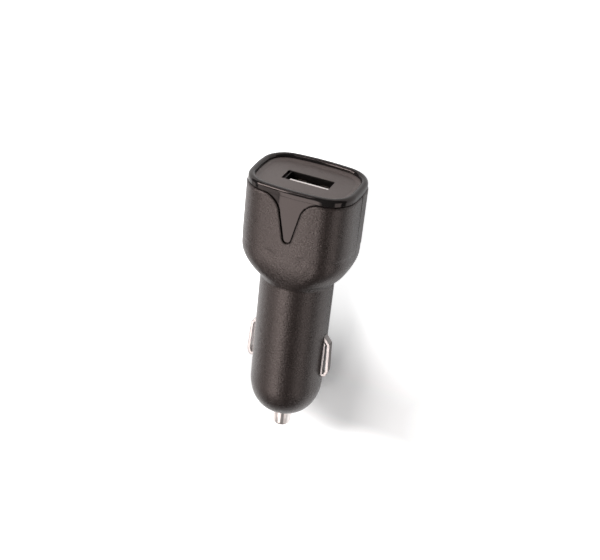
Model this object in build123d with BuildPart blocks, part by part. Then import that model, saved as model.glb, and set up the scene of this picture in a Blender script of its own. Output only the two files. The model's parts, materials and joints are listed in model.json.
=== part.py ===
from build123d import *
import os
from math import cos, radians, sin, sqrt, tan

# The plug lies on its back: +Y runs towards the port and +Z is the front, which carries the tongue.
# A depth is measured from the crown's crest towards the tip, along -Y.
# A height is measured from the plug's long axis towards the front, along +Z.

# Head, shoulder, barrel and nose of the housing
head_width = 31.0
head_thickness = 24.0
head_corner = 8.05
end_arc_half_angle = 5.2
corner_arc_end_angle = 82.5
straight_depth = 18.0
shoulder_length = 12.0
shoulder_swell = 2.9
shoulder_ease = 1.3
barrel_diameter = 20.6
barrel_length = 33.8
nose_length = 10.3
nose_flat_radius = 3.5
head_wall = 2.2
barrel_wall = 1.6
nose_wall = 3.9
mouth_edge_radius = 0.3

# Crown trim with its two tongues
band_depth = 2.1
trim_groove = 0.36
crown_inset = 0.25
crown_rim_width = 1.85
crown_outer_round = 0.95
crown_inner_round = 0.8
skirt_width = 1.5
skirt_depth = 4.5
seat_inset = 1.5
fit_gap = 0.05
tongue_depth = 15.0
tongue_half_angle = 12.5
tongue_root_radius = 5.2
tongue_tip_radius = 1.2
tongue_sink = 0.35

# Seam between the two shells, with its pegs
seam_groove_width = 0.4
seam_groove_cut = 0.5
seam_groove_end = 15.5
peg_radius = 0.85
peg_length = 2.6
peg_play = 0.1
boss_radius = 1.7
boss_edge_distance = 3.3
boss_depths = (9.5, 20.5)

# Port panel
panel_depth = 1.4
panel_thickness = 1.1
panel_lip = 0.15
panel_border_width = 1.3
panel_border_rise = 0.35
panel_border_flat = 0.2
port_width = 13.3
port_height = 5.3
port_corner = 0.4
collar_wall = 1.0
collar_length = 3.0

# USB receptacle: shell, insulator and blades
usb_offset = 0.6
usb_width = 13.1
usb_height = 5.7
usb_corner = 0.7
usb_length = 13.4
usb_wall = 0.3
tongue_recess = 0.6
usb_tongue_width = 10.9
usb_tongue_thickness = 1.84
usb_tongue_height = 0.1
usb_tongue_lead_in = 0.3
usb_block_length = 3.2
usb_block_corner = 0.4
blade_width = 1.0
blade_thickness = 0.25
blade_proud = 0.08
blade_outer_place = 3.5
blade_inner_place = 1.0
blade_outer_setback = 0.6
blade_inner_setback = 1.4
blade_drop_gap = 0.5
pin_reach_through = 0.8
finger_width = 1.8
finger_length = 5.4
finger_slit = 0.4
finger_place = 3.2
finger_setback = 1.6
leg_width = 2.0
leg_setback = 8.0

# Circuit board and what carries it
board_thickness = 1.0
board_side_gap = 0.6
board_collar_gap = 0.7
board_step_share = 0.6
board_corner = 0.8
board_step_round = 0.3
board_seat_gap = 0.9
hole_play = 0.1
post_radius = 1.2
post_place = 8.5
post_setback = 2.0
post_after_port = 2.1
stake_radius = 0.6
stake_length = 0.6
rib_width = 6.0
rib_thickness = 1.2
rib_seat_distance = 6.0

# Tip pin, spring and seat
pin_radius = 2.6
pin_tip_radius = 2.5
pin_reach = 6.5
pin_round = 1.1
pin_play = 0.08
pin_travel = 3.5
pin_bore_round = 0.4
flange_radius = 3.9
flange_thickness = 1.0
flange_play = 0.7
spigot_radius = 1.8
spigot_length = 2.0
spring_length = 10.6
spring_wire = 0.6
spring_radius = 2.5
spring_turns = 6
seat_radius = 4.6
seat_thickness = 0.6
seat_rib_thickness = 1.0
seat_rib_inner = 3.5
tab_width = 2.4
tab_thickness = 0.4
tab_overlap = 3.0

# Side ground contacts and the leaves that join them to the board
contact_thickness = 0.85
contact_width = 2.0
contact_length = 15.05
contact_nose_distance = 3.7
contact_proud = 2.15
contact_flare = 0.4
contact_ramp = 4.3
contact_turn_ramp = 2.0
contact_turn_inset = 0.55
contact_bend = 0.58
contact_inner_proud = 0.5
contact_inner_start = 3.8
contact_hook = 1.9
contact_ear_width = 4.2
contact_ear_length = 1.7
contact_ear_drop = 0.9
contact_slot_play = 0.2
socket_radius = 10.45
contact_wall_play = 0.12
leaf_thickness = 0.25
leaf_width = 1.6
leaf_foot = 3.0
leaf_lean = 0.7
leaf_height = 0.9

# Parts on the board
inductor_radius = 4.0
inductor_height = 5.4
inductor_flange = 1.1
inductor_waist = 1.7
winding_radius = 3.5
can_radius = 3.15
can_height = 7.2
can_base_width = 6.6
can_base_height = 1.0
can_corner_cut = 1.2
can_groove = 0.35
small_can_radius = 1.9
small_can_height = 5.4
small_can_base_width = 4.2
small_can_place = 6.6
chip_length = 5.0
chip_width = 4.0
chip_height = 1.5
chip_lift = 0.15
lead_width = 0.42
lead_pitch = 1.27
lead_rows = 4
lead_reach = 1.0
lead_thickness = 0.2
diode_length = 4.3
diode_width = 2.6
diode_height = 2.1
diode_draft = 5
strap_thickness = 0.25
strap_width = 1.4
strap_reach = 0.35
fuse_length = 6.0
fuse_width = 2.5
fuse_cap = 1.2
fuse_wall = 0.2
fuse_place = 6.2
resistor_length = 2.0
resistor_width = 1.25
resistor_height = 0.5
end_cap_rise = 0.06
resistor_place = 5.2
resistor_spread = 1.5
ceramic_height = 1.1
ceramic_place = 5.2
end_cap = 0.4

# Sizes that follow from those above
shoulder_depth = straight_depth + shoulder_length
nose_depth = shoulder_depth + barrel_length
nose_end = nose_depth + nose_length
overall_length = nose_end + pin_reach
axis_height = head_thickness / 2
port_y = overall_length / 2
barrel_radius = barrel_diameter / 2
barrel_bore = barrel_radius - barrel_wall
crown_bottom = band_depth - trim_groove / 2
shell_top = band_depth + trim_groove / 2
panel_inset = crown_inset + crown_rim_width
panel_back = panel_depth + panel_thickness
usb_mouth = panel_depth + panel_lip + fit_gap
usb_end = usb_mouth + usb_length
usb_block_start = usb_end - usb_block_length
board_top = -usb_height / 2
board_bottom = board_top - board_thickness
board_start = panel_back + collar_length + board_collar_gap
board_step = straight_depth + board_step_share * shoulder_length
board_head_width = head_width - 2 * (boss_edge_distance + boss_radius + board_side_gap)
board_barrel_width = 2 * (sqrt(barrel_bore**2 - board_bottom**2) - board_side_gap)
post_depths = (board_start + post_setback, usb_end + post_after_port)
bulkhead = nose_end - nose_wall
flange_back = bulkhead - flange_thickness
seat_back = flange_back - spring_length
seat_depth = seat_back - seat_thickness
seat_rib_depth = seat_depth - fit_gap
board_end = seat_rib_depth - seat_rib_thickness - board_seat_gap
rib_depth = seat_depth - rib_seat_distance
contact_end = nose_depth - contact_nose_distance
contact_start = contact_end - contact_length
contact_face = barrel_radius + contact_proud - contact_thickness / 2
contact_inner = barrel_radius + contact_inner_proud - contact_thickness / 2
pressed_face = sqrt(socket_radius**2 - (contact_width / 2) ** 2)
contact_travel = barrel_radius + contact_proud - pressed_face
hook_place = barrel_bore - contact_wall_play - contact_thickness / 2
ear_wall = sqrt(barrel_bore**2 - (contact_ear_width / 2) ** 2)
ear_place = ear_wall - fit_gap - contact_thickness / 2
ear_start = contact_start + contact_inner_start + contact_ear_drop
ear_depth = ear_start + contact_ear_length / 2
plug_axis = Axis((0, 0, axis_height), (0, 1, 0))
parting = Plane.XY.offset(axis_height)

# The parts along the board's middle share the free run between the receptacle and the leaves evenly
run_start = usb_end + blade_drop_gap + blade_thickness
run_end = ear_depth - leaf_width / 2
run_gap = (run_end - run_start - 2 * inductor_radius - chip_length - diode_width - can_base_width) / 5
inductor_depth = run_start + run_gap + inductor_radius
chip_depth = inductor_depth + inductor_radius + run_gap + chip_length / 2
diode_depth = chip_depth + chip_length / 2 + run_gap + diode_width / 2
can_depth = diode_depth + diode_width / 2 + run_gap + can_base_width / 2


def across(depth):
    return Plane(origin=(0, port_y - depth, axis_height), x_dir=(1, 0, 0), z_dir=(0, 1, 0))


def level(height):
    return Plane(origin=(0, port_y, axis_height + height), x_dir=(1, 0, 0), z_dir=(0, 0, 1))


def sideways(depth, side):
    return Plane(origin=(side, port_y - depth, axis_height), x_dir=(0, 1, 0), z_dir=(1, 0, 0))


# A closed oblong of eight tangent arcs. With equal sides and their half as the corner it is a circle.
def oblong(plane, width, thickness, corner):
    low = radians(end_arc_half_angle)
    high = radians(corner_arc_end_angle)
    half_width = width / 2 - corner * (cos(low) - cos(high))
    half_thickness = thickness / 2 + corner * (sin(low) - sin(high))
    spread = (1 - cos(low)) * (1 - sin(high)) - cos(high) * sin(low)
    end_radius = (half_width * (1 - sin(high)) - cos(high) * half_thickness) / spread
    side_radius = ((1 - cos(low)) * half_thickness - half_width * sin(low)) / spread
    end_x = width / 2 - end_radius
    side_y = thickness / 2 - side_radius
    corner_x = end_x + (end_radius - corner) * cos(low)
    corner_y = (end_radius - corner) * sin(low)
    a = end_arc_half_angle
    b = corner_arc_end_angle
    with BuildSketch(plane) as outline:
        with BuildLine():
            CenterArc((end_x, 0), end_radius, -a, 2 * a)
            CenterArc((corner_x, corner_y), corner, a, b - a)
            CenterArc((0, side_y), side_radius, b, 180 - 2 * b)
            CenterArc((-corner_x, corner_y), corner, 180 - b, b - a)
            CenterArc((-end_x, 0), end_radius, 180 - a, 2 * a)
            CenterArc((-corner_x, -corner_y), corner, 180 + a, b - a)
            CenterArc((0, -side_y), side_radius, 180 + b, 180 - 2 * b)
            CenterArc((corner_x, -corner_y), corner, 360 - b, b - a)
        make_face()
    return outline.sketch


# The head's outline, moved in by the inset
def head_outline(depth, inset):
    return oblong(across(depth), head_width - 2 * inset, head_thickness - 2 * inset, head_corner - inset)


# The shoulder's outline: share runs from 0 at the head to 1 at the barrel
def shoulder_outline(share, head_inset, barrel_inset):
    blend = 1 - (1 - share**shoulder_swell) ** shoulder_ease
    inset = head_inset + (barrel_inset - head_inset) * blend
    width = head_width + (barrel_diameter - head_width) * blend - 2 * inset
    thickness = head_thickness + (barrel_diameter - head_thickness) * blend - 2 * inset
    corner = head_corner + (barrel_radius - head_corner) * blend - inset
    return oblong(across(straight_depth + share * shoulder_length), width, thickness, corner)


# Head, shoulder, barrel and nose as one solid, moved in by the insets
def housing_form(head_inset, barrel_inset, top, end, flat_radius):
    radius = barrel_radius - barrel_inset
    stations = (0, 0.25, 0.5, 0.7, 0.85, 0.95, 1)
    with BuildPart() as form:
        extrude(head_outline(straight_depth, head_inset), amount=straight_depth - top)
        loft([shoulder_outline(share, head_inset, barrel_inset) for share in stations])
        with BuildSketch(level(0)) as profile:
            with BuildLine():
                Line((0, -shoulder_depth), (radius, -shoulder_depth))
                Line((radius, -shoulder_depth), (radius, -nose_depth))
                nose_radii = (radius - flat_radius, end - nose_depth)
                EllipticalCenterArc((flat_radius, -nose_depth), *nose_radii, 270, arc_size=90)
                Line((flat_radius, -end), (0, -end))
                Line((0, -end), (0, -shoulder_depth))
            make_face()
        revolve(axis=plug_axis)
    return form.part


# The tongue's outline, grown by the given amount: two flanks that meet in a rounded tip
def tongue_outline(plane, grow):
    flank = radians(tongue_half_angle)
    tip = tongue_tip_radius + grow
    root = tongue_root_radius - grow
    apex = tongue_depth + grow + tip * (1 / sin(flank) - 1)
    edge = band_depth + grow
    half_width = (apex - edge) * tan(flank)
    reach = half_width + root
    with BuildSketch(plane) as outline:
        with BuildLine():
            Polyline(
                (-reach, -band_depth / 2),
                (-reach, -edge),
                (-half_width, -edge),
                (0, -apex),
                (half_width, -edge),
                (reach, -edge),
                (reach, -band_depth / 2),
                close=True,
            )
        make_face()
        fillet(outline.vertices().sort_by(Axis.Y)[0], tip)
        roots = outline.vertices().group_by(Axis.Y)[-2].sort_by(Axis.X)
        fillet(roots[1:-1], root)
    return outline.sketch


# A bent strip in the plane of the long axis: its centre line, given a thickness and cut square
def strip_outline(plane, points, bend, thickness):
    with BuildSketch(plane) as outline:
        with BuildLine() as path:
            FilletPolyline(*points, radius=bend)
        trace(path.line, line_width=thickness)
    return outline.sketch


def save(builder, name):
    builder.part.label = name
    export_step(builder.part, f"parts/{name}.step")


os.makedirs("parts", exist_ok=True)

# Housing: outer form, cavity, and a form halfway through the wall that trims what grows from it
outside = housing_form(0, 0, shell_top, nose_end, nose_flat_radius)
flange_room = flange_radius + flange_play
cavity = housing_form(head_wall, barrel_wall, crown_bottom, bulkhead, flange_room)
mid_wall = housing_form(head_wall / 2, barrel_wall / 2, shell_top, bulkhead, flange_room)
tongue_run = tongue_depth + tongue_root_radius

with BuildPart() as tongue_pocket:
    extrude(tongue_outline(level(0), trim_groove / 2), amount=head_thickness, both=True)
    extrude(head_outline(tongue_run, seat_inset), amount=tongue_run, mode=Mode.SUBTRACT)

boss_side = head_width / 2 - boss_edge_distance
boss_places = [(side * boss_side, -depth) for depth in boss_depths for side in (-1, 1)]

with BuildPart() as bosses:
    with BuildSketch(level(0)):
        with Locations(*boss_places):
            Circle(boss_radius)
    extrude(amount=head_thickness / 2, both=True)
    add(mid_wall, mode=Mode.INTERSECT)

# Ring rib that takes the spring's thrust through the seat
with BuildPart() as seat_rib:
    with BuildSketch(across(seat_rib_depth)):
        Circle(barrel_bore + barrel_wall / 2)
        Circle(seat_rib_inner, mode=Mode.SUBTRACT)
    extrude(amount=seat_rib_thickness)

# Contact slot: its upper end slopes along the contact's ramp
slot_floor = ear_place - contact_travel - contact_thickness
slot_width = contact_width + 2 * contact_slot_play
ramp_slope = contact_ramp / (contact_face - contact_flare - hook_place)
ramp_margin = (contact_thickness / 2 + contact_slot_play) * sqrt(1 + ramp_slope**2)
slot_start = contact_start - ramp_margin
slot_end = contact_end + contact_slot_play
slot_reach = head_width / 2
slot_outline = (
    (slot_floor, -slot_start),
    (hook_place, -slot_start),
    (slot_reach, -slot_start - ramp_slope * (slot_reach - hook_place)),
    (slot_reach, -slot_end),
    (slot_floor, -slot_end),
)

with BuildPart() as housing:
    add(outside)
    fillet(housing.edges().group_by(Axis.Y)[-1], mouth_edge_radius)
    add(cavity, mode=Mode.SUBTRACT)
    add(bosses.part)
    add(seat_rib.part)
    extrude(head_outline(skirt_depth, seat_inset), amount=skirt_depth, mode=Mode.SUBTRACT)
    add(tongue_pocket.part, mode=Mode.SUBTRACT)
    with BuildSketch(across(nose_end)):
        Circle(pin_radius + pin_play)
    extrude(amount=nose_wall, mode=Mode.SUBTRACT)
    nose_edges = housing.edges().filter_by(GeomType.CIRCLE).group_by(Axis.Y)[0]
    fillet(nose_edges.sort_by(SortBy.RADIUS)[0], pin_bore_round)
    for side in (-1, 1):
        with BuildSketch(level(0)):
            with BuildLine():
                Polyline([(side * x, y) for x, y in slot_outline], close=True)
            make_face()
        extrude(amount=slot_width / 2, both=True, mode=Mode.SUBTRACT)
        with BuildSketch(sideways(0, side * (head_width / 2 - seam_groove_cut))):
            with BuildLine():
                Polyline(
                    (0, seam_groove_width / 2),
                    (0, -seam_groove_width / 2),
                    (-seam_groove_end, 0),
                    close=True,
                )
            make_face()
        extrude(amount=side * 2 * seam_groove_cut, mode=Mode.SUBTRACT)

with BuildPart() as front_shell:
    add(housing.part)
    split(bisect_by=parting, keep=Keep.TOP)
    with BuildSketch(level(0)):
        with Locations(*boss_places):
            Circle(peg_radius)
    extrude(amount=-peg_length)
save(front_shell, "front_shell")

# Posts with stakes, and a rib, carry the board on the back shell
post_places = [(side * post_place, -depth) for depth in post_depths for side in (-1, 1)]

with BuildPart() as board_carrier:
    with BuildSketch(level(board_bottom)):
        with Locations(*post_places):
            Circle(post_radius)
        with Locations((0, -rib_depth)):
            Rectangle(rib_width, rib_thickness)
    extrude(amount=-head_thickness)
    add(mid_wall, mode=Mode.INTERSECT)
    with BuildSketch(level(board_bottom)):
        with Locations(*post_places):
            Circle(stake_radius)
    extrude(amount=board_thickness + stake_length)

with BuildPart() as back_shell:
    add(housing.part)
    split(bisect_by=parting, keep=Keep.BOTTOM)
    with BuildSketch(level(0)):
        with Locations(*boss_places):
            Circle(peg_radius + peg_play)
    extrude(amount=-peg_length - peg_play, mode=Mode.SUBTRACT)
    add(board_carrier.part)
save(back_shell, "back_shell")

# Crown: a rounded rim on a skirt that plugs into the shells, with a tongue down the front and the back
with BuildPart() as tongues:
    extrude(tongue_outline(level(0), -trim_groove / 2), amount=head_thickness, both=True)
    extrude(head_outline(tongue_run, tongue_sink), amount=tongue_run, mode=Mode.INTERSECT)
    extrude(head_outline(tongue_run, seat_inset - fit_gap), amount=tongue_run, mode=Mode.SUBTRACT)

with BuildPart() as crown_trim:
    extrude(head_outline(crown_bottom, crown_inset), amount=crown_bottom)
    fillet(crown_trim.edges().group_by(Axis.Y)[-1], crown_outer_round)
    skirt_bottom = skirt_depth - fit_gap
    extrude(head_outline(skirt_bottom, seat_inset + fit_gap), amount=skirt_bottom - crown_bottom)
    add(tongues.part)
    extrude(head_outline(panel_back, panel_inset), amount=panel_back, mode=Mode.SUBTRACT)
    window_inset = seat_inset + fit_gap + skirt_width
    extrude(head_outline(skirt_depth, window_inset), amount=skirt_depth, mode=Mode.SUBTRACT)
    crest = crown_trim.faces().sort_by(Axis.Y)[-1]
    fillet(crest.inner_wires()[0].edges(), crown_inner_round)
save(crown_trim, "crown_trim")

# Port panel: a dished plate with the USB mouth, and a collar that holds the receptacle
with BuildPart() as port_panel:
    panel_edge = panel_inset + fit_gap
    extrude(head_outline(panel_back, panel_edge), amount=panel_thickness + panel_border_rise)
    dish_top = head_outline(panel_depth - panel_border_rise, panel_edge + panel_border_flat)
    dish_bottom = head_outline(panel_depth, panel_edge + panel_border_width)
    loft([dish_bottom, dish_top], ruled=True, mode=Mode.SUBTRACT)
    with BuildSketch(across(panel_back + collar_length)):
        collar = 2 * (fit_gap + collar_wall)
        with Locations((usb_offset, 0)):
            RectangleRounded(usb_width + collar, usb_height + collar, usb_corner + collar / 2)
    extrude(amount=collar_length)
    with BuildSketch(across(panel_back + collar_length)):
        with Locations((usb_offset, 0)):
            RectangleRounded(usb_width + 2 * fit_gap, usb_height + 2 * fit_gap, usb_corner + fit_gap)
    extrude(amount=collar_length + panel_thickness - panel_lip, mode=Mode.SUBTRACT)
    with BuildSketch(across(panel_back)):
        RectangleRounded(port_width, port_height, port_corner)
    extrude(amount=panel_thickness + panel_border_rise, mode=Mode.SUBTRACT)
save(port_panel, "port_panel")

# Receptacle shell: a rounded tube with two spring fingers on each broad side and two board legs
with BuildPart() as usb_shell:
    with BuildSketch(across(usb_end)):
        with Locations((usb_offset, 0)):
            RectangleRounded(usb_width, usb_height, usb_corner)
            bore = (usb_width - 2 * usb_wall, usb_height - 2 * usb_wall, usb_corner - usb_wall)
            RectangleRounded(*bore, mode=Mode.SUBTRACT)
    extrude(amount=usb_length)
    finger_mid = usb_mouth + finger_setback + finger_length / 2
    fingers = [(usb_offset + side * finger_place, -finger_mid) for side in (-1, 1)]
    with BuildSketch(level(0)):
        with Locations(*fingers):
            Rectangle(finger_width + 2 * finger_slit, finger_length)
            with Locations((0, -finger_slit)):
                Rectangle(finger_width, finger_length, mode=Mode.SUBTRACT)
    extrude(amount=usb_height, both=True, mode=Mode.SUBTRACT)
    leg_side = usb_width / 2 - usb_wall / 2
    leg_depth = usb_mouth + leg_setback
    legs = [(usb_offset + side * leg_side, -leg_depth) for side in (-1, 1)]
    with BuildSketch(level(0)):
        with Locations(*legs):
            Rectangle(usb_wall, leg_width)
    extrude(amount=board_bottom - pin_reach_through)
save(usb_shell, "usb_shell")

# Blades: along the tongue, out of the block's back, and down through the board
blade_top = usb_tongue_height + blade_thickness - blade_proud
blade_back = usb_end + blade_drop_gap + blade_thickness
blade_row = (
    (usb_offset - blade_outer_place, blade_outer_setback),
    (usb_offset - blade_inner_place, blade_inner_setback),
    (usb_offset + blade_inner_place, blade_inner_setback),
    (usb_offset + blade_outer_place, blade_outer_setback),
)

with BuildPart() as usb_insulator:
    block_width = usb_width - 2 * usb_wall - 2 * fit_gap
    block_height = usb_height - 2 * usb_wall - 2 * fit_gap
    with BuildSketch(across(usb_end)):
        with Locations((usb_offset, 0)):
            RectangleRounded(block_width, block_height, usb_block_corner)
    extrude(amount=usb_block_length)
    with BuildSketch(across(usb_block_start)):
        with Locations((usb_offset, -usb_tongue_height - usb_tongue_thickness / 2)):
            Rectangle(usb_tongue_width, usb_tongue_thickness)
    extrude(amount=usb_block_start - usb_mouth - tongue_recess)
    tongue_end = usb_insulator.faces().sort_by(Axis.Y)[-1]
    chamfer(tongue_end.edges().filter_by(Axis.X), usb_tongue_lead_in)
    for side, setback in blade_row:
        with BuildSketch(level(blade_top)):
            groove_start = usb_mouth + tongue_recess + setback
            with Locations((side, -(groove_start + usb_end) / 2)):
                Rectangle(blade_width, usb_end - groove_start)
        extrude(amount=-blade_thickness, mode=Mode.SUBTRACT)
save(usb_insulator, "usb_insulator")

for number, (side, setback) in enumerate(blade_row, start=1):
    with BuildPart() as usb_contact:
        with BuildSketch(level(blade_top)):
            blade_start = usb_mouth + tongue_recess + setback
            with Locations((side, -(blade_start + blade_back) / 2)):
                Rectangle(blade_width, blade_back - blade_start)
        extrude(amount=-blade_thickness)
        with BuildSketch(level(blade_top)):
            with Locations((side, -blade_back + blade_thickness / 2)):
                Rectangle(blade_width, blade_thickness)
        extrude(amount=board_bottom - pin_reach_through - blade_top)
    save(usb_contact, f"usb_contact_{number}")

# Board: wide in the head, narrow in the barrel, with holes for the stakes, the legs and the blades
with BuildPart() as circuit_board:
    with BuildSketch(level(board_bottom)) as board_outline:
        wide = board_head_width / 2
        narrow = board_barrel_width / 2
        with BuildLine():
            Polyline(
                (-wide, -board_start),
                (-wide, -board_step),
                (-narrow, -board_step),
                (-narrow, -board_end),
                (narrow, -board_end),
                (narrow, -board_step),
                (wide, -board_step),
                (wide, -board_start),
                close=True,
            )
        make_face()
        fillet(board_outline.vertices().group_by(Axis.Y)[1], board_step_round * (wide - narrow))
        for end in (0, -1):
            fillet(board_outline.vertices().group_by(Axis.Y)[end], board_corner)
        with Locations(*post_places):
            Circle(stake_radius + hole_play, mode=Mode.SUBTRACT)
        with Locations(*legs):
            Rectangle(usb_wall + 2 * hole_play, leg_width + 2 * hole_play, mode=Mode.SUBTRACT)
        with Locations(*[(side, -blade_back + blade_thickness / 2) for side, setback in blade_row]):
            Rectangle(blade_width + 2 * hole_play, blade_thickness + 2 * hole_play, mode=Mode.SUBTRACT)
    extrude(amount=board_thickness)
save(circuit_board, "circuit_board")

# Tip pin: rounded end, straight shank in its bore, flange on the bulkhead and spigot in the spring
shank_end = nose_end + pin_travel
with BuildPart() as tip_pin:
    with BuildSketch(level(0)):
        with BuildLine():
            Line((0, -overall_length), (pin_tip_radius - pin_round, -overall_length))
            round_centre = (pin_tip_radius - pin_round, -overall_length + pin_round)
            CenterArc(round_centre, pin_round, 270, 90)
            Polyline(
                (pin_tip_radius, -overall_length + pin_round),
                (pin_radius, -shank_end),
                (pin_radius, -bulkhead + fit_gap),
                (flange_radius, -bulkhead + fit_gap),
                (flange_radius, -flange_back),
                (spigot_radius, -flange_back),
                (spigot_radius, -flange_back + spigot_length),
                (0, -flange_back + spigot_length),
                (0, -overall_length),
            )
        make_face()
    revolve(axis=plug_axis)
save(tip_pin, "tip_pin")

# Coil spring between the seat and the pin's flange
with BuildPart() as tip_spring:
    coil_start = flange_back - fit_gap - spring_wire / 2
    coil_height = spring_length - 2 * fit_gap - spring_wire
    with BuildLine() as coil:
        Helix(
            coil_height / spring_turns,
            coil_height,
            spring_radius,
            center=(0, port_y - coil_start, axis_height),
            direction=(0, 1, 0),
        )
    with BuildSketch(Plane(origin=coil.line @ 0, z_dir=coil.line % 0)):
        Circle(spring_wire / 2)
    sweep()
save(tip_spring, "tip_spring")

# Seat: a disc on the ring rib, a spigot in the spring, and a tab soldered to the board
with BuildPart() as spring_seat:
    with BuildSketch(across(seat_back)):
        Circle(seat_radius)
    extrude(amount=seat_thickness)
    with BuildSketch(across(seat_back)):
        Circle(spigot_radius)
    extrude(amount=-spigot_length)
    with BuildSketch(level(board_top)):
        tab_start = board_end - tab_overlap
        with Locations((0, -(tab_start + seat_depth) / 2)):
            Rectangle(tab_width, seat_depth - tab_start)
    extrude(amount=tab_thickness)
save(spring_seat, "spring_seat")

# Ground contact: a strip hooked behind the wall, bowed out, turned back at its lower end and eared inside
contact_path = (
    (hook_place, -contact_start + contact_hook),
    (hook_place, -contact_start),
    (contact_face - contact_flare, -contact_start - contact_ramp),
    (contact_face, -contact_end + contact_turn_ramp),
    (contact_face - contact_turn_inset, -contact_end + contact_thickness / 2),
    (contact_inner, -contact_end + contact_thickness / 2),
    (contact_inner, -contact_start - contact_inner_start),
    (ear_place, -ear_start),
    (ear_place, -ear_start - contact_ear_length),
)

with BuildPart() as right_contact:
    strip = strip_outline(level(0), contact_path, contact_bend, contact_thickness)
    extrude(strip, amount=contact_width / 2, both=True)
    with BuildSketch(level(0)):
        with Locations((ear_place, -ear_depth)):
            Rectangle(contact_thickness, contact_ear_length)
    extrude(amount=contact_ear_width / 2, both=True)
save(right_contact, "right_contact")

with BuildPart() as left_contact:
    mirror(right_contact.part, about=Plane.YZ)
save(left_contact, "left_contact")

# Ground leaf: a foot soldered to the board and a blade that leans out to the contact's ears
leaf_top = ear_place - contact_thickness / 2 - fit_gap - leaf_thickness / 2
leaf_base = leaf_top - leaf_lean
leaf_path = (
    (leaf_base - leaf_foot, -board_top - leaf_thickness / 2),
    (leaf_base, -board_top - leaf_thickness / 2),
    (leaf_top, -leaf_height),
)

with BuildPart() as right_ground_leaf:
    leaf = strip_outline(across(ear_depth + leaf_width / 2), leaf_path, leaf_thickness, leaf_thickness)
    extrude(leaf, amount=leaf_width)
save(right_ground_leaf, "right_ground_leaf")

with BuildPart() as left_ground_leaf:
    mirror(right_ground_leaf.part, about=Plane.YZ)
save(left_ground_leaf, "left_ground_leaf")

# Power inductor: a ferrite drum and the winding round its waist
with BuildPart() as inductor_core:
    with BuildSketch(level(board_top)):
        with Locations((0, -inductor_depth)):
            Circle(inductor_radius)
    extrude(amount=inductor_height)
    with BuildSketch(level(board_top + inductor_flange)):
        with Locations((0, -inductor_depth)):
            Circle(inductor_radius)
            Circle(inductor_waist, mode=Mode.SUBTRACT)
    extrude(amount=inductor_height - 2 * inductor_flange, mode=Mode.SUBTRACT)
save(inductor_core, "inductor_core")

with BuildPart() as inductor_winding:
    with BuildSketch(level(board_top + inductor_flange)):
        with Locations((0, -inductor_depth)):
            Circle(winding_radius)
            Circle(inductor_waist, mode=Mode.SUBTRACT)
    extrude(amount=inductor_height - 2 * inductor_flange)
save(inductor_winding, "inductor_winding")


# An electrolytic capacitor: a grooved can with a rounded rim
def capacitor_can(place, radius, height):
    bottom = board_top + can_base_height
    with BuildPart() as can:
        with BuildSketch(level(bottom)):
            with Locations(place):
                Circle(radius)
        extrude(amount=height - can_base_height)
        fillet(can.edges().group_by(Axis.Z)[-1], can_groove)
        with BuildSketch(level(bottom + can_groove)):
            with Locations(place):
                Circle(radius)
                Circle(radius - can_groove / 2, mode=Mode.SUBTRACT)
        extrude(amount=can_groove, mode=Mode.SUBTRACT)
    return can


# Its moulded base, square with two corners cut
def capacitor_base(place, width):
    x, y = place
    half = width / 2
    with BuildPart() as base:
        with BuildSketch(level(board_top)) as outline:
            with Locations(place):
                Rectangle(width, width)
            chamfer(outline.vertices().group_by(Axis.Y)[0], can_corner_cut)
        extrude(amount=can_base_height)
    return base


input_can_place = (0, -can_depth)
output_can_place = (small_can_place, -inductor_depth)
save(capacitor_can(input_can_place, can_radius, can_height), "input_capacitor")
save(capacitor_base(input_can_place, can_base_width), "input_capacitor_base")
save(capacitor_can(output_can_place, small_can_radius, small_can_height), "output_capacitor")
save(capacitor_base(output_can_place, small_can_base_width), "output_capacitor_base")

# Converter chip and its eight gull-wing leads
with BuildPart() as converter_chip:
    with BuildSketch(level(board_top + chip_lift)):
        with Locations((0, -chip_depth)):
            Rectangle(chip_width, chip_length)
    extrude(amount=chip_height)
    chamfer(converter_chip.edges().group_by(Axis.Z)[-1], chip_lift)
save(converter_chip, "converter_chip")

with BuildPart() as converter_leads:
    shoulder = board_top + chip_lift + chip_height / 2
    for row in range(lead_rows):
        lead_depth = chip_depth + (row - (lead_rows - 1) / 2) * lead_pitch
        for side in (-1, 1):
            knee = side * (chip_width / 2 + lead_reach / 2)
            foot = side * (chip_width / 2 + lead_reach)
            with BuildSketch(across(lead_depth + lead_width / 2)):
                with BuildLine():
                    Polyline(
                        (side * chip_width / 2, -shoulder),
                        (knee, -shoulder),
                        (knee, -board_top - lead_thickness),
                        (foot, -board_top - lead_thickness),
                        (foot, -board_top),
                        (knee - side * lead_thickness, -board_top),
                        (knee - side * lead_thickness, -shoulder + lead_thickness),
                        (side * chip_width / 2, -shoulder + lead_thickness),
                        close=True,
                    )
                make_face()
            extrude(amount=lead_width)
save(converter_leads, "converter_leads")

# Rectifier diode and the straps folded under it
with BuildPart() as rectifier_diode:
    with BuildSketch(level(board_top + strap_thickness)):
        with Locations((0, -diode_depth)):
            Rectangle(diode_length, diode_width)
    extrude(amount=diode_height, taper=diode_draft)
save(rectifier_diode, "rectifier_diode")

with BuildPart() as diode_terminals:
    with BuildSketch(level(board_top)):
        strap_place = diode_length / 2 + strap_reach - strap_width / 2
        with Locations((-strap_place, -diode_depth), (strap_place, -diode_depth)):
            Rectangle(strap_width, strap_width)
    extrude(amount=strap_thickness)
save(diode_terminals, "diode_terminals")

# Input fuse: a square tube body with a metal cap on each end
with BuildPart() as input_fuse:
    with BuildSketch(level(board_top + fuse_wall)):
        with Locations((-fuse_place, -inductor_depth)):
            Rectangle(fuse_width - 2 * fuse_wall, fuse_length - 2 * fuse_wall)
    extrude(amount=fuse_width - 2 * fuse_wall)
save(input_fuse, "input_fuse")

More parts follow.
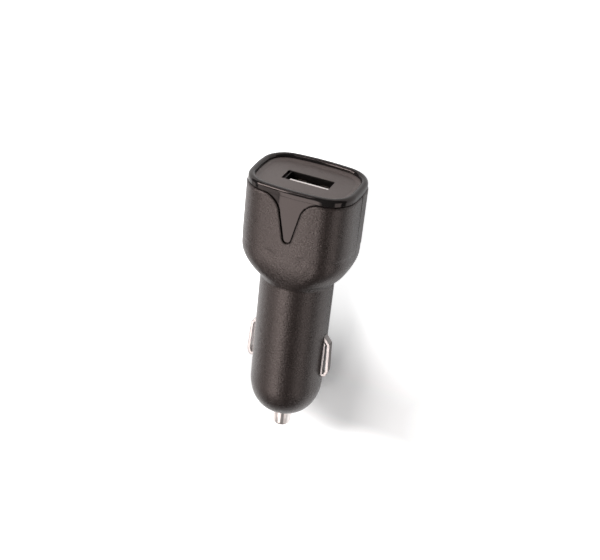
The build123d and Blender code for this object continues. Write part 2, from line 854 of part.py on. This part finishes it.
with BuildPart() as fuse_caps:
    for end in (-1, 1):
        with BuildSketch(level(board_top)):
            with Locations((-fuse_place, -inductor_depth + end * (fuse_length - fuse_cap) / 2)):
                Rectangle(fuse_width, fuse_cap)
        extrude(amount=fuse_width)
    add(input_fuse.part, mode=Mode.SUBTRACT)
save(fuse_caps, "fuse_caps")


# A chip resistor or ceramic capacitor, lying along the board
def chip_part(place, height):
    with BuildPart() as chip:
        with BuildSketch(level(board_top)):
            with Locations(place):
                Rectangle(resistor_width, resistor_length)
        extrude(amount=height)
        with BuildSketch(level(board_top + height)):
            with Locations(place):
                Rectangle(resistor_width, resistor_length - 2 * end_cap)
        extrude(amount=-end_cap_rise, mode=Mode.SUBTRACT)
    return chip


ends = (-resistor_spread, resistor_spread)
resistor_row = [(side * resistor_place, -chip_depth + end) for side in (-1, 1) for end in ends]
for number, place in enumerate(resistor_row, start=1):
    save(chip_part(place, resistor_height), f"chip_resistor_{number}")

ceramic_row = [
    (-ceramic_place, -diode_depth),
    (ceramic_place, -diode_depth),
    (ceramic_place, -can_depth),
]
for number, place in enumerate(ceramic_row, start=1):
    save(chip_part(place, ceramic_height), f"ceramic_capacitor_{number}")
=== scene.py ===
import bpy
import bmesh
import json
from math import pi, radians
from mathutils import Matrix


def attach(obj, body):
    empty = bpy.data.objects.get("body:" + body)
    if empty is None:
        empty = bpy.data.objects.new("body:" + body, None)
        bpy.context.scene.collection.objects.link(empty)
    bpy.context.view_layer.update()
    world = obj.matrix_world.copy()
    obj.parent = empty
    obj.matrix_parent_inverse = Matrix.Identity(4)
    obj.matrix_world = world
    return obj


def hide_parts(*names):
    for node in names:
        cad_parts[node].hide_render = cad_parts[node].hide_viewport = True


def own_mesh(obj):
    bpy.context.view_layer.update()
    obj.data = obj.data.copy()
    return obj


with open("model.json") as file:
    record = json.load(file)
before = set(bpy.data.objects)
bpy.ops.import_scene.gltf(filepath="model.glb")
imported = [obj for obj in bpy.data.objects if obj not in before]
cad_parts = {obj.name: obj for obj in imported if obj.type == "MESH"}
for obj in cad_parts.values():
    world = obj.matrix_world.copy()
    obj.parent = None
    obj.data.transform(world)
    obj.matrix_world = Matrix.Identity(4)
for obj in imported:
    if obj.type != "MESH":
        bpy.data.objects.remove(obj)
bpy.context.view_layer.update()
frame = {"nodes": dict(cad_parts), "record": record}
nodes = frame["nodes"]
scene = bpy.context.scene
print("frame loaded:", len(nodes), "nodes")


bevelSamples = 6
wearReach = 1.6  # of the radius of an edge
noiseMiddle = 0.5


# a socket that takes part in sums, and a finish that makes nodes
class Socket:
    def __init__(self, finish, output):
        self.finish = finish
        self.output = output

    def maths(self, operation, first, second):
        return self.finish.node("Math", {"operation": operation}, {0: first, 1: second})

    def __add__(self, other):
        return self.maths("ADD", self, other)

    def __radd__(self, other):
        return self.maths("ADD", other, self)

    def __sub__(self, other):
        return self.maths("SUBTRACT", self, other)

    def __rsub__(self, other):
        return self.maths("SUBTRACT", other, self)

    def __mul__(self, other):
        return self.maths("MULTIPLY", self, other)

    def __rmul__(self, other):
        return self.maths("MULTIPLY", other, self)


class Finish:
    def __init__(self, holder, shader="Principled BSDF"):
        self.holder = holder  # a material or the world
        self.holder.use_nodes = True
        self.tree = self.holder.node_tree
        self.shader = self.tree.nodes[shader]

    def node(self, kind, settings, sockets, output=0):
        made = self.tree.nodes.new("ShaderNode" + kind)
        for key, value in settings.items():
            if key == "stops":
                for stop, (place, level) in zip(made.color_ramp.elements, value):
                    stop.position = place
                    stop.color = (level, level, level, 1)
            else:
                setattr(made, key, value)
        for key, value in sockets.items():
            self.link(value, made.inputs[key])
        return Socket(self, made.outputs[output])

    def link(self, value, target):
        if isinstance(value, Socket):
            self.tree.links.new(value.output, target)
        else:
            target.default_value = value

    def set(self, **values):
        for key, value in values.items():
            self.link(value, self.shader.inputs[key.replace("_", " ")])

    def place(self):
        return self.node("TexCoord", {}, {}, "Object")

    def axis(self, vector, letter):
        return self.node("SeparateXYZ", {}, {"Vector": vector}, letter)

    def vectors(self, operation, first, second=None, output="Vector"):
        values = {0: first} if second is None else {0: first, 1: second}
        return self.node("VectorMath", {"operation": operation}, values, output)

    def noise(self, size, detail, roughness, stretch=(1, 1, 1)):
        where = {"Vector": self.place(), "Scale": stretch}
        spot = self.node("Mapping", {"vector_type": "TEXTURE"}, where)
        values = {"Vector": spot, "Scale": 1 / size, "Detail": detail, "Roughness": roughness}
        return self.node("TexNoise", {}, values, "Fac")

    def ramp(self, value, span):
        return self.node("ValToRGB", {"stops": zip(span, (0, 1))}, {"Fac": value})

    def mix(self, factor, first, second):
        values = {"Factor": factor, 6: first, 7: second}
        return self.node("Mix", {"data_type": "RGBA"}, values, 2)

    def fade(self, value, span, levels):
        ends = {"From Min": span[0], "From Max": span[1], "To Min": levels[0], "To Max": levels[1]}
        return self.node("MapRange", {"interpolation_type": "SMOOTHSTEP"}, {"Value": value, **ends})

    def facing(self):
        return self.node("NewGeometry", {}, {}, "Normal")

    def rounded(self, radius):
        return self.node("Bevel", {"samples": bevelSamples}, {"Radius": radius})

    def worn(self, edge, span):
        # bright where an edge is sharper than the reach of the wear
        soft = self.rounded(edge * wearReach)
        return self.ramp(1 - self.vectors("DOT_PRODUCT", soft, self.facing(), "Value"), span)

    def bump(self, height, distance, strength, radius=0):
        values = {"Height": height, "Distance": distance, "Strength": strength}
        if radius:
            values["Normal"] = self.rounded(radius)
        return self.node("Bump", {}, values)


def rgb(red, green, blue):
    return (red, green, blue, 1)


def varied(base, **changes):
    return {**base, **changes}


black, white = rgb(0, 0, 0), rgb(1, 1, 1)

# moulded plastics; lengths are in metres
mouldedShell = {
    "colour": rgb(0.015, 0.0115, 0.0105),
    "pale": rgb(0.032, 0.025, 0.023),
    "sheen": 0.62,
    "tint": rgb(1.0, 0.88, 0.85),
    "roughness": 0.29,
    "grain": {"size": 0.00048, "detail": 3, "roughness": 0.65},
    "grainDepth": 0.00013,
    "grainStrength": 0.8,
    "grainShine": 0.2,
    "speck": 0.7,
    "speckSpan": (0.5, 0.7),
    "cloud": {"size": 0.006, "detail": 3, "roughness": 0.5},
    "cloudTone": 0.35,
    "cloudShine": 0.08,
    "edge": 0.00018,
    "soften": 0,  # how far the shading rounds an edge
    "wear": (0.08, 0.4),
    "rub": 0.5,
    "rubShine": 0.08,
}


def paintMouthShade(finish, mouth, colour):
    # painted shade: the colour is darkened to near black inside a box whose sides run along the
    # plug
    apart = finish.vectors("SUBTRACT", finish.place(), mouth["centre"])
    ratio = finish.vectors("ABSOLUTE", finish.vectors("DIVIDE", apart, mouth["half"]))
    farthest = {0: finish.axis(ratio, "X"), 1: finish.axis(ratio, "Z")}
    outside = finish.node("Math", {"operation": "MAXIMUM"}, farthest)
    return finish.mix(finish.ramp(outside, mouth["rim"]), mouth["shade"], colour)


def mouldedFinish(name, look):
    finish = Finish(bpy.data.materials.new(name))
    grain = finish.noise(**look["grain"])
    cloud = finish.noise(**look["cloud"])
    worn = finish.worn(look["edge"], look["wear"])
    colour = finish.mix(cloud * look["cloudTone"], look["colour"], look["pale"])
    specks = finish.ramp(grain, look["speckSpan"]) * look["speck"]
    colour = finish.mix(specks, colour, look["pale"])
    # painted shade inside the port's mouth
    if "mouth" in look:
        colour = paintMouthShade(finish, look["mouth"], colour)
    colour = finish.mix(worn * look["rub"], colour, look["pale"])
    rough = look["roughness"] + (grain - noiseMiddle) * look["grainShine"]
    rough = rough + (cloud - noiseMiddle) * look["cloudShine"] - worn * look["rubShine"]
    normal = finish.bump(grain, look["grainDepth"], look["grainStrength"], look["soften"])
    finish.set(Base_Color=colour, Roughness=rough, Normal=normal)
    finish.set(Specular_IOR_Level=look["sheen"], Specular_Tint=look["tint"])
    return finish.holder


glossCrown = {
    "colour": rgb(0.010, 0.0095, 0.0095),
    "pale": rgb(0.16, 0.135, 0.13),
    "roughness": 0.055,
    "smear": {"size": 0.0035, "detail": 4, "roughness": 0.6},
    "smearSpan": (0.5, 0.8),
    "smearShine": 0.07,
    "hair": {"size": 0.00012, "detail": 2, "roughness": 0.7, "stretch": (6, 1, 3)},
    "hairDepth": 0.000004,
    "hairStrength": 0.25,
    "edge": 0.0002,
    "wear": (0.05, 0.5),
    "rub": 0.6,
    "rubShine": 0.1,
    "sheen": 0.36,
    "tint": rgb(1.0, 0.86, 0.83),
}


def glossFinish(name, look):
    finish = Finish(bpy.data.materials.new(name))
    smear = finish.noise(**look["smear"])
    hair = finish.noise(**look["hair"])
    worn = finish.worn(look["edge"], look["wear"])
    colour = finish.mix(worn * look["rub"], look["colour"], look["pale"])
    smears = finish.ramp(smear, look["smearSpan"]) * look["smearShine"]
    normal = finish.bump(hair, look["hairDepth"], look["hairStrength"], look["edge"])
    rough = look["roughness"] + smears + worn * look["rubShine"]
    finish.set(Base_Color=colour, Roughness=rough, Normal=normal)
    finish.set(Specular_IOR_Level=look["sheen"], Specular_Tint=look["tint"])
    return finish.holder


# metals
platedSteel = {
    "colour": rgb(0.72, 0.70, 0.68),
    "dull": rgb(0.50, 0.48, 0.46),
    "roughness": 0.26,
    "grain": {"size": 0.0001, "detail": 3, "roughness": 0.6},
    "grainDepth": 0.00001,
    "grainStrength": 0.4,
    "grainShine": 0.16,
    "stretch": (1, 14, 1),
    "stain": {"size": 0.002, "detail": 3, "roughness": 0.5},
    "stainSpan": (0.4, 0.75),
    "stainTone": 0.5,
    "stainShine": 0.1,
    "edge": 0.00012,
    "wear": (0.03, 0.4),
    "rub": 0.5,
    "rubShine": 0.05,
}


def metalFinish(name, look):
    finish = Finish(bpy.data.materials.new(name))
    brushed = finish.noise(stretch=look["stretch"], **look["grain"])
    stain = finish.noise(**look["stain"])
    worn = finish.worn(look["edge"], look["wear"])
    stained = finish.ramp(stain, look["stainSpan"]) * look["stainTone"]
    colour = finish.mix(stained, look["colour"], look["dull"])
    colour = finish.mix(worn * look["rub"], colour, look["colour"])
    if "face" in look:
        # painted reflection: the broad faces, which look along X, are painted a dark colour
        sideways = finish.axis(finish.facing(), "X")
        paintedReflectionMask = finish.ramp(sideways * sideways, look["faceSpan"])
        colour = finish.mix(paintedReflectionMask, colour, look["face"])
    rough = look["roughness"] + (brushed - noiseMiddle) * look["grainShine"]
    rough = rough + (stain - noiseMiddle) * look["stainShine"] - worn * look["rubShine"]
    normal = finish.bump(brushed, look["grainDepth"], look["grainStrength"], look["edge"])
    finish.set(Base_Color=colour, Roughness=rough, Metallic=1.0, Normal=normal)
    return finish.holder


# what sits on the board
boardLaminate = {
    "thread": 0.0035,
    "threadDetail": 1,
    "wander": 0.4,
    "clothTone": 0.35,
    "cloud": {"size": 0.005, "detail": 2, "roughness": 0.5},
    "cloudTone": 0.2,
    "colour": rgb(0.012, 0.13, 0.05),
    "pale": rgb(0.035, 0.24, 0.09),
    "roughness": 0.3,
    "clothShine": 0.12,
    "clothDepth": 0.00002,
    "clothStrength": 0.3,
}


def laminateFinish(name, look):
    finish = Finish(bpy.data.materials.new(name))
    weave = {"Vector": finish.place(), "Scale": 1 / look["thread"]}
    weave.update({"Distortion": look["wander"], "Detail": look["threadDetail"]})
    warp = finish.node("TexWave", {"bands_direction": "X"}, weave, "Fac")
    weft = finish.node("TexWave", {"bands_direction": "Y"}, weave, "Fac")
    cloth = warp * weft
    tone = cloth * look["clothTone"] + finish.noise(**look["cloud"]) * look["cloudTone"]
    rough = look["roughness"] + cloth * look["clothShine"]
    normal = finish.bump(cloth, look["clothDepth"], look["clothStrength"])
    finish.set(Base_Color=finish.mix(tone, look["colour"], look["pale"]), Roughness=rough)
    finish.set(Normal=normal)
    return finish.holder


copperWinding = {
    "wire": 0.0009,
    "wander": 0.3,
    "gap": rgb(0.16, 0.05, 0.02),
    "crest": rgb(0.62, 0.27, 0.10),
    "roughness": 0.32,
    "wireShine": 0.1,
    "metal": 0.7,
    "wireDepth": 0.0001,
    "wireStrength": 0.8,
}


def windingFinish(name, look):
    finish = Finish(bpy.data.materials.new(name))
    turns = {"Vector": finish.place(), "Scale": 1 / look["wire"], "Distortion": look["wander"]}
    wire = finish.node("TexWave", {"bands_direction": "Z", "wave_profile": "SIN"}, turns, "Fac")
    normal = finish.bump(wire, look["wireDepth"], look["wireStrength"])
    # painted shade: the gaps between the turns of wire are painted dark
    finish.set(Base_Color=finish.mix(wire, look["gap"], look["crest"]), Normal=normal)
    finish.set(Roughness=look["roughness"] + wire * look["wireShine"], Metallic=look["metal"])
    return finish.holder


# painted shade: the inside of the port's mouth, which is part of the panel's node, is painted near
# black
paintedMouthShade = {
    "centre": (0, 0, 0.012), "half": (0.0067, 1, 0.0027),
    "rim": (0.99, 1.0), "shade": rgb(0.004, 0.0035, 0.003)}
mouldedLooks = {
    "shell_plastic": {"soften": 0.0009},
    "panel_plastic": {
        "colour": rgb(0.062, 0.049, 0.045), "pale": rgb(0.095, 0.078, 0.072),
        "roughness": 0.42, "grainDepth": 0.00004, "mouth": paintedMouthShade},
    "insulator_plastic": {
        "colour": rgb(0.86, 0.83, 0.80), "pale": rgb(0.92, 0.90, 0.88),
        "roughness": 0.4, "grainDepth": 0.00002},
    "ferrite": {
        "colour": rgb(0.035, 0.034, 0.036), "pale": rgb(0.09, 0.088, 0.09), "roughness": 0.6},
    "base_plastic": {
        "colour": rgb(0.02, 0.02, 0.02), "pale": rgb(0.06, 0.06, 0.06)},
    "chip_plastic": {
        "colour": rgb(0.015, 0.015, 0.016), "pale": rgb(0.06, 0.06, 0.062), "roughness": 0.55},
    "fuse_ceramic": {
        "colour": rgb(0.74, 0.72, 0.66), "pale": rgb(0.88, 0.87, 0.83), "roughness": 0.5},
    "resistor_body": {
        "colour": rgb(0.02, 0.02, 0.024), "pale": rgb(0.10, 0.10, 0.11), "roughness": 0.35},
    "ceramic_body": {
        "colour": rgb(0.40, 0.28, 0.17), "pale": rgb(0.55, 0.42, 0.30), "roughness": 0.45},
}
contactStrip = {
    "colour": rgb(0.565, 0.53, 0.52), "dull": rgb(0.46, 0.435, 0.425),
    "roughness": 0.42, "edge": 0.0003}
metalLooks = {
    # the port's steel is a dark plating, painted darker still as painted shade inside the slot
    "port_steel": {
        "colour": rgb(0.022, 0.020, 0.019), "dull": rgb(0.014, 0.013, 0.012), "roughness": 0.5},
    "blade_metal": {"colour": rgb(0.83, 0.62, 0.26), "dull": rgb(0.6, 0.42, 0.16)},
    "tip_metal": {
        "colour": rgb(0.88, 0.83, 0.805), "dull": rgb(0.76, 0.71, 0.685),
        "stretch": (1, 1, 1), "roughness": 0.34},
    "spring_steel": {"colour": rgb(0.55, 0.55, 0.56), "edge": 0.00005},
    "seat_brass": {"colour": rgb(0.70, 0.50, 0.22), "dull": rgb(0.45, 0.31, 0.13)},
    "contact_metal": contactStrip,
    "leaf_metal": {"colour": rgb(0.74, 0.50, 0.24), "dull": rgb(0.5, 0.32, 0.15)},
    "can_aluminium": {"colour": rgb(0.78, 0.78, 0.79), "stretch": (1, 1, 10)},
    "lead_metal": {"colour": rgb(0.7, 0.7, 0.71)},
}


def materialName(slot):
    first, *others = slot.split("_")
    return first + "".join(word.capitalize() for word in others)


finishes = {
    "crown_plastic": glossFinish(materialName("crown_plastic"), glossCrown),
    "board_laminate": laminateFinish(materialName("board_laminate"), boardLaminate),
    "copper_winding": windingFinish(materialName("copper_winding"), copperWinding),
}
for slot, changes in mouldedLooks.items():
    finishes[slot] = mouldedFinish(materialName(slot), varied(mouldedShell, **changes))
for slot, changes in metalLooks.items():
    finishes[slot] = metalFinish(materialName(slot), varied(platedSteel, **changes))

slots = {entry["node"]: entry["material_slot"] for entry in frame["record"]["subparts"]}
for name, slot in slots.items():
    nodes[name].data.materials.clear()
    nodes[name].data.materials.append(finishes[slot])

# painted reflection: the right contact's broad faces are painted dark, standing in for the dark
# room they reflect
rubbedContact = {**contactStrip, "face": rgb(0.13, 0.115, 0.11), "faceSpan": (0.35, 0.75)}
paintedReflectionMetal = metalFinish("rubbedContact", varied(platedSteel, **rubbedContact))
nodes["right_contact"].data.materials[0] = paintedReflectionMetal
print("finishes made:", len(finishes))

# the coil and the two leaves: each is shown by a merged, smoothed copy on the housing, which takes
# the place of its node
springLook = {"merge": 1e-7, "crease": 30}


def makeSpring(name, joint, letter, fixedEnd):
    form = bmesh.new()
    form.from_mesh(nodes[name].data)
    bmesh.ops.remove_doubles(form, verts=form.verts, dist=springLook["merge"])
    mesh = bpy.data.meshes.new(name + "_springs")
    form.to_mesh(mesh)
    form.free()
    mesh.shade_smooth()
    mesh.set_sharp_from_angle(angle=radians(springLook["crease"]))
    mesh.materials.append(finishes[slots[name]])
    spring = bpy.data.objects.new(name + "_springs", mesh)
    scene.collection.objects.link(spring)
    along = "xyz".index(letter)
    reach = max(abs(vertex.co[along] - fixedEnd) for vertex in mesh.vertices)
    axis, anchor = [0, 0, 0], [0, 0, 0]
    axis[along], anchor[along] = 1, fixedEnd
    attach(spring, "housing")
    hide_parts(name)
    1 - joint["range_m"][1] / reach
    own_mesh(spring)


for joint in frame["record"]["behaviour"]["joints"]:
    for bends in joint["deforming_nodes"]:
        letter = bends["mode"][-1]
        makeSpring(bends["node"], joint, letter, bends["fixed_end_" + letter + "_m"])
print("springs made")

# a wide pale plane that reads white to the camera; its glow to the camera is painted light, kept
# low beside the barrel so the shadow shows there, and raised towards the head, past the nose and to
# the sides, where it washes the shadow out
floorLook = {
    "size": 3.0,
    "albedo": rgb(0.80, 0.84, 0.855),
    "roughness": 0.9,
    "nearLift": 0.11,  # added white beside the barrel, where the shadow falls
    "farLift": 0.9,
    "headSpan": (-0.034, 0.006),  # along the plug, from the barrel to the head
    "footSpan": (-0.040, -0.054),  # along the plug, past the nose
    "footLift": 0.7,
    "sideSpan": (0.014, 0.066),  # away from the plug on either side
    "mirrorLift": 0.38,  # what the plug sees of it in its gloss
}


def makeFloor():
    mesh = bpy.data.meshes.new("floor")
    form = bmesh.new()
    bmesh.ops.create_grid(form, x_segments=1, y_segments=1, size=floorLook["size"] / 2)
    form.to_mesh(mesh)
    form.free()
    floor = bpy.data.objects.new("floor", mesh)
    scene.collection.objects.link(floor)
    finish = Finish(bpy.data.materials.new("floorPaint"))
    along = finish.axis(finish.place(), "Y")
    beside = finish.axis(finish.place(), "X")
    squares = [reach ** 2 for reach in floorLook["sideSpan"]]
    side = finish.fade(beside * beside, squares, (0, floorLook["farLift"]))
    levels = (floorLook["nearLift"], floorLook["farLift"])
    head = finish.fade(along, floorLook["headSpan"], levels)
    foot = finish.fade(along, floorLook["footSpan"], (0, floorLook["footLift"]))
    # painted light: the floor's glow to the camera is raised away from the barrel, washing the
    # shadow out there
    paintedLift = finish.node("Math", {"operation": "MAXIMUM"}, {0: head + foot, 1: side})
    seen = finish.node("LightPath", {}, {}, "Is Camera Ray")
    mirrored = finish.node("LightPath", {}, {}, "Is Glossy Ray")
    glow = seen * paintedLift + mirrored * floorLook["mirrorLift"]
    finish.set(Base_Color=floorLook["albedo"], Roughness=floorLook["roughness"])
    finish.set(Specular_IOR_Level=0, Emission_Strength=1.0)
    finish.set(Emission_Color=finish.mix(glow, black, white))
    mesh.materials.append(finish.holder)


makeFloor()

# a dim room that the camera sees as white, panels whose reflections shape the dark
# plastic, and a strip behind the plug whose shadow falls to the right
warmth = (1, 0.93, 0.91)
roomColour = rgb(0.10, 0.097, 0.096)
lamps = {
    "leftPanel": {
        "at": (-0.45, -0.24, 0.48), "turn": (0, -10, 0),
        "size": (0.40, 0.48), "glow": 1.6},
    "topPanel": {
        "at": (-0.138, -0.27, 0.50), "turn": (0, 0, 0),
        "size": (0.20, 0.50), "glow": 4.2},
    "lowPanel": {
        "at": (-0.56, -0.36, 0.13), "turn": (0, -80, 0),
        "size": (0.16, 0.50), "glow": 1.2},
    "sideStrip": {
        "at": (0.49, -0.29, 0.31), "turn": (0, 58, 0),
        "size": (0.25, 0.50), "glow": 1.75},
    "backPanel": {
        "at": (-0.21, 0.47, 0.29), "turn": (-59, -10, 0),
        "size": (0.26, 0.07), "glow": 8.0},
    "shadowPanel": {
        "at": (-0.33, 0.24, 0.385), "turn": (45, 16, -142),
        "size": (0.38, 0.10), "glow": 21.0},
}

world = Finish(bpy.data.worlds.new("room"), "Background")
seen = world.node("LightPath", {}, {}, "Is Camera Ray")
world.set(Color=world.mix(seen, roomColour, white), Strength=1.0)
scene.world = world.holder

for name, lamp in lamps.items():
    light = bpy.data.lights.new(name, "AREA")
    light.shape = "RECTANGLE"
    light.size, light.size_y = lamp["size"]
    light.energy = lamp["glow"] * pi * light.size * light.size_y
    light.color = warmth
    panel = bpy.data.objects.new(name, light)
    panel.location = lamp["at"]
    panel.rotation_euler = [radians(angle) for angle in lamp["turn"]]
    scene.collection.objects.link(panel)

# the photograph's viewing angle
view = {
    "at": (0.102905, 0.190552, 0.305538), "turn": (-28.254, 22.324, 5.993),
    "lens": 78.58, "sensor": 36, "near": 0.01, "far": 20}

camera = bpy.data.objects.new("camera", bpy.data.cameras.new("camera"))
camera.location = view["at"]
camera.rotation_euler = [radians(angle) for angle in view["turn"]]
camera.data.lens = view["lens"]
camera.data.sensor_width = view["sensor"]
camera.data.clip_start = view["near"]
camera.data.clip_end = view["far"]
scene.collection.objects.link(camera)
scene.camera = camera
scene.view_settings.view_transform = "Standard"
print("stage set")
